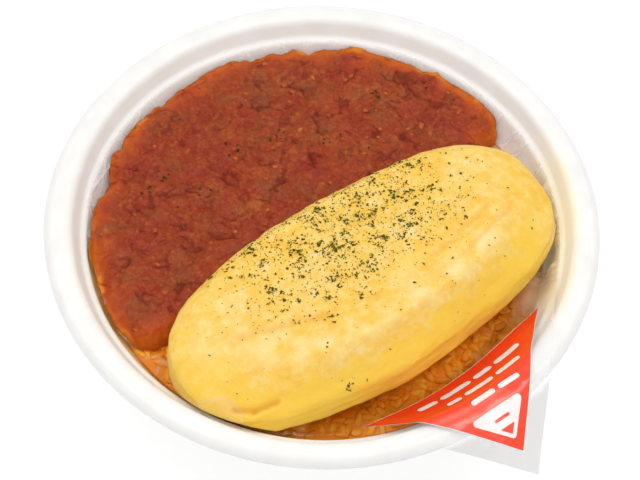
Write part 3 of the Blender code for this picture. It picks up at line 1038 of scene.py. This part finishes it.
def make_tongue():
    """A strip of film from the wall up onto the egg, smoothed along its length."""
    turns = np.linspace(TONGUE_TOP[0][0], TONGUE_TOP[-1][0], 110) * DEG
    tops = np.interp(np.degrees(turns), *zip(*TONGUE_TOP)) + 0.5 * lumps(turns * 80, 0, 8, 2.0)
    tops = np.convolve(np.pad(tops, 6, "edge"), np.full(13, 1 / 13), "valid").clip(TONGUE_LOW + 1.5)
    shares = np.linspace(0, 1, 34)
    rising = up_the_wall(FILM_PATHS[0], with_top=True)
    points = []
    for turn, top in zip(turns, tops):
        way = Vector((math.cos(turn), math.sin(turn), 0))
        for share in shares:
            height = TONGUE_LOW + (top - TONGUE_LOW) * share
            out = np.interp(height, rising[:, 1], rising[:, 0])
            hit = omelette_surface.ray_cast(way * 0.1 + Vector((0, 0, height * MM)), -way, 0.05)[0]
            if hit is not None:
                out = min(out, hit.xy.length / MM + 0.35 + 0.5 * share**6)
            points.append((out * way.x, out * way.y, height))
    points = np.array(points).reshape(len(turns), len(shares), 3)
    for _ in range(3):
        points[1:-1] = (points[:-2] + 2 * points[1:-1] + points[2:]) / 4
    n = len(shares)
    start = (np.arange(len(turns) - 1)[:, None] * n + np.arange(n - 1)[None, :]).reshape(-1, 1)
    faces = start + np.array([0, n, n + 1, 1])
    made = piece("film_tongue", points.reshape(-1, 3), faces, FILM_LOOK, closed=False)
    veil = np.tile(0.07 + 0.1 * ease((shares - 0.9) / 0.1), len(turns))
    # The strip against the egg carries the same painted cream glow as the film beside the egg.
    note(made, veil=veil, fold=0.6, greased=0.5, slack=0.4)
    return stay(made, "clear_film")


make_tongue()

# %% [markdown]
# ## The sauce
#
# The sauce is minced meat, onion and tomato cooked down until it heaps. Its surface is chopped pieces of 2 to
# 6 mm lying at all angles under a wet skin, parted here and there by cracks. The outline follows the wall at
# the back and runs in under the omelette in front. The pieces are pressed into the surface one by one: each is
# a low rounded tile that lifts the surface where it is higher than what is there, and leaves its own tint.


# %% Draw the sauce's outline
SAUCE_EDGE = [
    # turn in degrees, height against the wall
    (36.5, 31.5), (41, 37.2), (47, 38.8), (56, 37.4), (61, 38.9), (64.5, 36.4), (67, 37.0), (77, 37.8),
    (85, 39.6), (88.5, 36.4), (92, 37.2), (96, 34.6), (100, 37.6), (103, 35.4), (106, 36.6), (112, 35.4),
    (117, 38.2), (127, 36.4), (139, 35.0), (143, 36.0), (154.5, 37.2), (157, 34.8), (160.5, 37.6),
    (168, 32.4), (178, 36.4), (185, 36.2), (190, 39.2), (193, 38.0),
]


def sauce_edge_height(turn):
    """How high the sauce stands against the wall in a direction."""
    x, y = np.cos(turn) * 80, np.sin(turn) * 80
    return np.interp(np.degrees(turn), *zip(*SAUCE_EDGE)) + 0.5 + 0.8 * lumps(x, y, 2.7, 1.1)


wall_turns = np.linspace(36.5, 191, 520) * DEG
WALL_EDGE = ways(wall_turns) * (on_wall(sauce_edge_height(wall_turns)) + 0.35)[:, None]
FREE_CORNERS = [
    (-76.4, -17.4), (-74.3, -20.8), (-72.7, -25.2), (-71.0, -30.0), (-69.0, -34.6), (-67.2, -38.2),
    (-63.6, -42.2), (-60.0, -44.6), (-56.2, -46.4), (-51.0, -45.4), (-45.0, -41.6),
]
HIDDEN_CORNERS = [(-32.0, -27.0), (-6.0, -5.0), (24.0, 18.0), (48.0, 37.5), (54.0, 41.0), (57.5, 43.0)]
FREE_EDGE = resampled(np.vstack([WALL_EDGE[-1], FREE_CORNERS]), 0.6, closed=False)[1:]
FREE_EDGE = FREE_EDGE + 0.9 * np.stack([lumps(*FREE_EDGE.T, 4, seed) for seed in (5.0, 9.0)], 1)
HIDDEN_EDGE = resampled(np.vstack([FREE_EDGE[-1], HIDDEN_CORNERS, WALL_EDGE[0]]), 0.8, closed=False)[1:-1]
SAUCE_OUTLINE = np.vstack([WALL_EDGE, FREE_EDGE, HIDDEN_EDGE])
print("The sauce's outline has", len(SAUCE_OUTLINE), "points")


# %% Heap the sauce
def press_chunks(x, y, height, tint, count, sizes, heights, tints):
    """Presses that many rounded chunks into a surface, each with its own size, turn, height and tint."""
    sunk = height.copy()
    for _ in range(count):
        r, t = 80 * math.sqrt(random.uniform()), random.uniform(0, 2 * math.pi)
        cx, cy, turn = r * math.cos(t), r * math.sin(t), random.uniform(0, math.pi)
        a, b = random.uniform(*sizes), random.uniform(*sizes) * 0.7
        rise, lean = random.uniform(*heights), random.normal(0, 0.12, 2)
        colour = random.uniform(*tints)
        near = np.flatnonzero((np.abs(x - cx) < a + b) & (np.abs(y - cy) < a + b))
        if not len(near):
            continue
        dx, dy = x[near] - cx, y[near] - cy
        u = (dx * math.cos(turn) + dy * math.sin(turn)) / a
        v = (-dx * math.sin(turn) + dy * math.cos(turn)) / b
        d = (np.abs(u) ** 3 + np.abs(v) ** 3) ** (1 / 3)
        dome = sunk[near] + rise * np.clip(1 - d**2, 0, 1) ** 0.8 + dx * lean[0] + dy * lean[1]
        higher = (d < 1) & (dome > height[near])
        here = near[higher]
        height[here] = dome[higher]
        tint[here] += (colour - tint[here]) * ease((1 - d[higher]) / 0.35)


def crumbled(x, y, size, seed):
    """Cracks a surface into crumbs that wide: how near each place is to a crack, and its crumb's own number."""
    gaps, own = np.empty(len(x)), np.empty(len(x))
    for i, (a, b) in enumerate(zip((x / size).tolist(), (y / size).tolist())):
        reach, middles = noise.voronoi((a, b, seed))
        gaps[i] = reach[1] - reach[0]
        own[i] = noise.cell(middles[0] * 7.3) * 0.5 + 0.5
    return gaps, own


def omelette_back():
    """The line where the omelette's back meets the sauce, at the sauce's height."""
    turns = np.linspace(0.1, math.pi * 1.05, 160)
    x, y = OMELETTE_LENGTH / 2 * oval(turns) * np.cos(turns), OMELETTE_WIDTH / 2 * oval(turns) * np.sin(turns)
    return np.stack(from_omelette(x, y), 1)


def make_sauce(look):
    """The heaped surface, rolled down at its free edge, closed by the bed that it lies on."""
    flat, triangles = filled(SAUCE_OUTLINE, 0.5)
    x, y = flat.T
    turn, radius = polar(x, y)
    bent_x, bent_y = x + 2.2 * lumps(x, y, 6, 1.2), y + 2.2 * lumps(x, y, 6, 7.3)
    relief = 1.1 * lumps(x, y, 9, 3.3) + 0.55 * lumps(bent_x, bent_y, 4, 5.8)
    tint = 0.5 + 0.55 * lumps(x, y, 12, 6.6) + 0.35 * lumps(bent_x, bent_y, 4.5, 2.6)
    press_chunks(x, y, relief, tint, 520, (1.6, 3.8), (0.2, 1.1), (0.1, 0.85))
    press_chunks(x, y, relief, tint, 1900, (0.7, 1.8), (0.1, 0.6), (0.0, 1.0))
    relief += 0.32 * lumps(bent_x, bent_y, 1.9, 2.4) + 0.18 * lumps(x, y, 1.1, 4.9)
    cracked = np.zeros(len(x))
    for size, seed in ((8.0, 3.7), (4.5, 8.2)):
        gap, own = crumbled(bent_x * 0.6 + bent_y * 0.1, bent_y, size, seed)
        patch = ease((lumps(x, y, 7, seed + 2.0) - 0.2) / 0.2)
        cracked = np.maximum(cracked, patch * bell(gap, 0.08))
        relief += 0.07 * size * patch * (own - 0.5)
        tint += 0.2 * (own - 0.5)
    relief -= 0.45 * cracked
    from_wall = nearest(flat, WALL_EDGE)
    from_free = nearest(flat, np.vstack([FREE_EDGE, WALL_EDGE[-12:], WALL_EDGE[:8], HIDDEN_EDGE[-6:]]))
    crown = SAUCE_LEVEL - 0.3 + 1.4 * (1 - (radius / 78) ** 2) + relief
    contact = sauce_edge_height(turn % (2 * math.pi))
    slope = 4.0 + 1.1 * (38.0 - contact).clip(0, 6)
    z = contact + (crown - contact) * quarter(from_wall / slope)
    bed = np.maximum(OMELETTE_FOOT - 0.55 + bed_relief(x, y), film_height(radius))
    z = bed + np.maximum(z - bed, 0) * quarter(from_free / 8.0)
    points = np.concatenate([np.c_[flat, z], np.c_[flat, np.minimum(bed, z - 0.05)]])
    n, edge = len(flat), np.arange(len(SAUCE_OUTLINE))
    sides = np.stack([np.roll(edge, -1), edge, n + edge, n + np.roll(edge, -1)], 1)
    faces = triangles.tolist() + (triangles[:, ::-1] + n).tolist() + sides.tolist()
    made = piece("meat_sauce", points, faces, look)
    patchy = 1.5 * lumps(x, y, 8, 4.1) + 0.5 * lumps(x, y, 3, 7.7)
    from_edge = np.minimum(from_wall, from_free)
    oily = 0.85 * ease(1 - from_edge / (10.0 + 7.0 * patchy).clip(2.0, 16.0))
    oily = np.maximum(oily, 0.8 * ease(1 - nearest(flat, omelette_back()) / 2.2))
    oily += 0.3 * ease((lumps(x, y, 10, 0.9) - 0.1) / 0.2) * ease(1 - from_edge / 2.5)
    # Painted shade: darker along the cracks and in the lowest hollows of the heap.
    crack = np.maximum(0.7 * cracked, 0.5 * ease((-0.6 - relief) / 0.6))
    note(made, tint=np.tile(tint, 2).clip(0, 1), oily=np.tile(oily, 2).clip(0, 1), crack=np.tile(crack, 2))
    return stay(made, "meat_sauce", "sauce")


# %% [markdown]
# ## Meat and tomato sauce
#
# Cooked tomato and meat are brick red to red brown, and the oil that parts from them is orange and clearer. It
# gathers against the film and along the omelette. Onion and carrot pieces are more orange, meat is browner. A
# thin coat makes the wet skin, with a rougher body under it. The cracks and the lowest hollows of the heap are
# painted darker: painted shade, where shade would fall in them.


# %% Mix the sauce
def tomato_meat_sauce():
    """Cooked meat and tomato: brick red and rough under a wet skin, orange where the oil gathers."""
    wet = {"Specular_IOR_Level": 0.35, "Coat_Weight": 0.07, "Coat_Roughness": 0.25}
    light = glow(0.12, (1.0, 0.25, 0.08), 1.0)
    made, tree, shader = finish("tomato_meat_sauce", Roughness=0.45, IOR=1.36, **wet, **light)
    place = node(tree, "TexCoord", out="Object")
    mince = {"Vector": place, "Scale": per_mm(1.6), "Detail": 4.0, "Roughness": 0.65, "Distortion": 0.6}
    fine = node(tree, "TexNoise", mince)
    cloud = node(tree, "TexNoise", {"Vector": place, "Scale": per_mm(9.0), "Detail": 2.0})
    tint = node(tree, "Attribute", out="Fac", attribute_name="tint")
    oily = node(tree, "Attribute", out="Fac", attribute_name="oily")
    crack = node(tree, "Attribute", out="Fac", attribute_name="crack")
    browns = [(0.0, "#6E1E10"), (0.3, "#8C3018"), (0.6, "#9E3E1A"), (0.85, "#AC521C"), (1.0, "#C4702C")]
    body = node(tree, "ValToRGB", {"Fac": tint}, stops=browns)
    specks = [(0.32, "#661808"), (0.5, "#943617"), (0.68, "#C06834")]
    speck = node(tree, "ValToRGB", {"Fac": fine}, stops=specks)
    hues = [(0.36, "#A02E1C"), (0.54, "#A84414"), (0.68, "#905424")]
    hue = node(tree, "ValToRGB", {"Fac": cloud}, stops=hues)
    oils = [(0.2, "#B04014"), (0.75, "#C85814"), (1.0, "#E08424")]
    oil = node(tree, "ValToRGB", {"Fac": oily}, stops=oils)
    colour = node(tree, "Mix", {0: 0.5, 6: body, 7: speck}, **MIX)
    colour = node(tree, "Mix", {0: 0.35, 6: colour, 7: hue}, **MIX)
    colour = node(tree, "Mix", {0: oily, 6: colour, 7: oil}, **MIX)
    # Painted shade in the cracks and hollows, multiplied over the colour.
    dark = node(tree, "Mix", {0: crack, 6: "#FFFFFF", 7: "#B06050"}, **MIX)
    colour = node(tree, "Mix", {0: 1.0, 6: colour, 7: dark}, blend_type="MULTIPLY", **MIX)
    bump = node(tree, "Bump", {"Height": fine, "Strength": 0.9, "Distance": 0.6 * MM})
    fill(shader, {"Base Color": colour, "Normal": bump})
    return made


sauce = make_sauce(tomato_meat_sauce())
sauce_surface = surface(sauce)


# %% Press onion and carrot bits into the sauce
def stewed_vegetable():
    """Onion and carrot gone soft and clear, stained by the oil."""
    light = glow(0.3, (1.0, 0.4, 0.1), 2.0)
    shades = [(0.0, "#A8481C"), (0.6, "#B85C20"), (1.0, "#CC7C30")]
    stains = [(0.35, "#9C3A18"), (0.65, "#C46C2C")]
    return speckled("stewed_vegetable", shades, stains, 1.5, 3.0, 0.45, Roughness=0.35, IOR=1.37, **light)[0]


VEGETABLE_BITS = [
    # x, y, size
    (32.9, 45.3, 4.4), (7.3, 65.3, 3.2), (-53.6, -18.3, 2.4), (-63.2, 1.4, 2.6), (46.0, 51.0, 2.8),
]


def make_vegetable_bits(look, spare):
    """The named bits and that many smaller ones, as (x, y, size), each mostly sunk in the sauce."""
    shape, faces = pod(10, 6, 0.6)
    spots = list(VEGETABLE_BITS)
    while len(spots) < len(VEGETABLE_BITS) + spare:
        x, y = random.uniform(-78, 78), random.uniform(-45, 78)
        if math.hypot(x, y) < 74:
            spots.append((x, y, random.uniform(1.0, 2.6)))
    laid = []
    for x, y, size in spots:
        turn, tip = random.uniform(0, math.pi), random.normal(0, 0.3)
        shade, squash = random.uniform(), random.uniform(0.5, 0.9)
        wobble = 1 + 0.15 * random.normal(0, 1, len(shape))[:, None]
        hit = hit_from_above(sauce_surface, x, y)[0]
        if hit is None or hit_from_above(COVERS[0], x, y)[0] is not None:
            continue
        bit = spun(shape * wobble * (size, size * squash, size * 0.5), turn, tip)
        laid.append((bit + (np.array(hit) / MM - (0, 0, size * 0.12)), faces, shade))
    return joined("vegetable_bits", laid, look, "meat_sauce")


make_vegetable_bits(stewed_vegetable(), 90)

# %% [markdown]
# ## Dried parsley
#
# Dried parsley is crumbled leaf: flat crooked flakes from 0.3 to 2 mm, dull dark green. They were sprinkled
# over the back and middle of the omelette, thick in one band and thin elsewhere. A few leaves of other herbs
# are cooked in the sauce.


# %% Mix the leaves
def dried_leaf(name, shades):
    """Dry leaf: matt, almost without shine, darker and paler along its veins."""
    dry = {"Roughness": 0.8, "IOR": 1.4, "Specular_IOR_Level": 0.08}
    veins = [(0.3, shades[0]), (0.7, shades[2])]
    return speckled(name, zip((0.0, 0.5, 1.0), shades), veins, 0.4, 2.0, 0.4, **dry)[0]


# %% Crumble and scatter
def flake(size, thickness=0.07):
    """One crooked leaf crumb as a thin closed shard, centred on the origin."""
    corners = random.integers(4, 7)
    even = np.linspace(0, 2 * math.pi, corners, endpoint=False)
    turns = np.sort(even + 0.35 * random.uniform(0, 2 * math.pi, corners))
    reach = size / 2 * random.uniform(0.45, 1.0, corners)
    ring = np.stack([np.cos(turns) * reach, np.sin(turns) * reach * random.uniform(0.5, 1.0)], 1)
    curl = random.uniform(-0.3, 0.3) * ring[:, 0] ** 2 / size
    crown = [[0, 0, thickness * 1.3], [0, 0, 0.0]]
    faces = []
    for j in range(corners):
        k = (j + 1) % corners
        faces += [(j, k, 2 * corners), (corners + k, corners + j, 2 * corners + 1)]
        faces += [(j, corners + j, corners + k), (j, corners + k, k)]
    return np.vstack([np.c_[ring, curl + thickness], np.c_[ring, curl], crown]), faces


def scatter(name, spots, tree, look, slot):
    """Lays a flake of each given size at each (x, y, size) on the surface in a tree."""
    laid = []
    for x, y, size in spots:
        shape, faces = flake(size)
        shade, turn, tip = random.uniform(), random.uniform(0, 2 * math.pi), random.normal(0, 0.5, 2)
        hit, normal = hit_from_above(tree, x, y)
        if hit is None:
            continue
        up = (normal + Vector((*tip, 0)) * 0.4).normalized()
        spin = up.to_track_quat("Z", "Y").to_matrix() @ Matrix.Rotation(turn, 3, "Z")
        points = shape @ np.array(spin).T + np.array(hit) / MM + np.array(normal) * 0.08
        laid.append((points, faces, shade))
    return joined(name, laid, look, slot, smooth=False)


def parsley_spots(crumbs, clumps):
    """Places and sizes of single crumbs and of small clumps of leaf, thick over the back and middle."""
    spots = []
    while len(spots) < crumbs + clumps:
        u, v = random.uniform(-60, 60), random.uniform(-31, 31)
        lengthwise = math.exp(-(abs(u / 38) ** 3))
        crosswise = float(ease((v + 15 - 0.12 * abs(u)) / 22)) * float(ease((32.5 - v) / 5))
        patch = 0.45 + 1.3 * max(0.0, float(lumps(u, v, 7, 2.0)) + 0.1)
        if random.uniform() < lengthwise * crosswise * patch + 0.012:
            size = min(2.0, 0.36 + random.exponential(0.36))
            spots.append((*from_omelette(u, v), size))
    for x, y, size in spots[-clumps:]:
        spread = random.uniform(0.3, 1.1)
        for _ in range(random.integers(2, 7)):
            dx, dy = random.normal(0, spread, 2)
            spots.append((x + dx, y + dy, random.uniform(0.8, 2.0)))
    return spots


PARSLEY = dried_leaf("dried_parsley", ("#303204", "#504E08", "#827C28"))
scatter("parsley_flakes", parsley_spots(2300, 110), omelette_surface, PARSLEY, "egg")

HERB_CLUSTERS = [
    # x, y, leaves, spread
    (-17.5, 35.2, 16, 2.2), (1.8, 38.7, 10, 1.8), (-54.8, 16.7, 10, 1.3), (-59.2, 10.4, 7, 1.6),
    (-33.5, 31.3, 8, 1.6), (16.4, 58.4, 9, 1.1), (-40.4, 12.5, 5, 2.5), (11.8, 32.7, 5, 2.0),
    (-48.0, -2.0, 4, 3.0), (30.0, 62.0, 3, 3.0),
]
herb_spots = []
for cx, cy, count, spread in HERB_CLUSTERS:
    for _ in range(count):
        dx, dy = random.normal(0, spread, 2)
        herb_spots.append((cx + dx, cy + dy, random.uniform(0.7, 2.2)))
COOKED_HERB = dried_leaf("cooked_herb", ("#2A2408", "#40380E", "#5A4E1A"))
scatter("sauce_herbs", herb_spots, sauce_surface, COOKED_HERB, "meat_sauce")

# %% [markdown]
# ## Camera, floor and light
#
# The camera looks down at about 56 degrees, as one looks at a meal on a table. The light is a white room with
# two soft lamps above and a weaker one in front, and the floor glows a little, so shadows are pale and the food
# keeps its colours. Mirror reflections see the room dimmer, so that the film doesn't turn white.

# %% Place the camera
CAMERA_DISTANCE, CAMERA_PITCH, CAMERA_ROLL = 0.600, 55.714 * DEG, 2.78 * DEG
TARGET = Vector((0, 0, 43.6 * MM))


def aimed(name, data, place):
    """A camera or a lamp at a place, aimed at the food."""
    made = bpy.data.objects.new(name, data)
    bpy.context.scene.collection.objects.link(made)
    made.location = place
    made.rotation_mode = "QUATERNION"
    made.rotation_quaternion = (TARGET - made.location).to_track_quat("-Z", "Y")
    return made


back_and_up = Vector((0, -math.cos(CAMERA_PITCH), math.sin(CAMERA_PITCH)))
camera = aimed("camera", bpy.data.cameras.new("camera"), TARGET + CAMERA_DISTANCE * back_and_up)
camera.rotation_quaternion = camera.rotation_quaternion @ Matrix.Rotation(CAMERA_ROLL, 4, "Z").to_quaternion()
camera.data.lens = 100.977
camera.data.sensor_width = 36
camera.data.shift_x = -0.00396875
camera.data.shift_y = -0.031540625
camera.data.clip_start = 0.01
bpy.context.scene.camera = camera
print("The camera stands", round(camera.location.z / MM), "mm above the table")

# %% Lay the floor and light the room
sweep = {"Base_Color": "#A0A0A0", "Emission_Color": "#FFFFFF", "Emission_Strength": 0.7}
REACH = 1500.0
corners = [(-REACH, -REACH, -0.2), (REACH, -REACH, -0.2), (REACH, REACH, -0.2), (-REACH, REACH, -0.2)]
floor = piece("floor", corners, [(0, 1, 2, 3)], finish("lit_sweep", Roughness=0.8, **sweep)[0], closed=False)

world = bpy.data.worlds.new("white_room")
bpy.context.scene.world = world
world.use_nodes = True
glossy = node(world.node_tree, "LightPath", out="Is Glossy Ray")
dimmed = node(world.node_tree, "MapRange", {"Value": glossy, "To Min": 0.62, "To Max": 0.33})
fill(world.node_tree.nodes["Background"], {"Color": (1.0, 0.995, 0.985, 1.0), "Strength": dimmed})


def soft_lamp(name, place, size, power):
    """A square lamp of that size in metres and power in watts, aimed at the food."""
    lamp = aimed(name, bpy.data.lights.new(name, "AREA"), place)
    lamp.data.size = size
    lamp.data.energy = power


soft_lamp("left_lamp", (-0.35, 0.06, 0.92), 0.5, 2.3)
soft_lamp("right_lamp", (0.35, 0.06, 0.92), 0.4, 2.1)
soft_lamp("front_lamp", (0.0, -0.55, 0.85), 0.6, 0.9)
bpy.context.scene.view_settings.view_transform = "Standard"
print("The lamps are set")
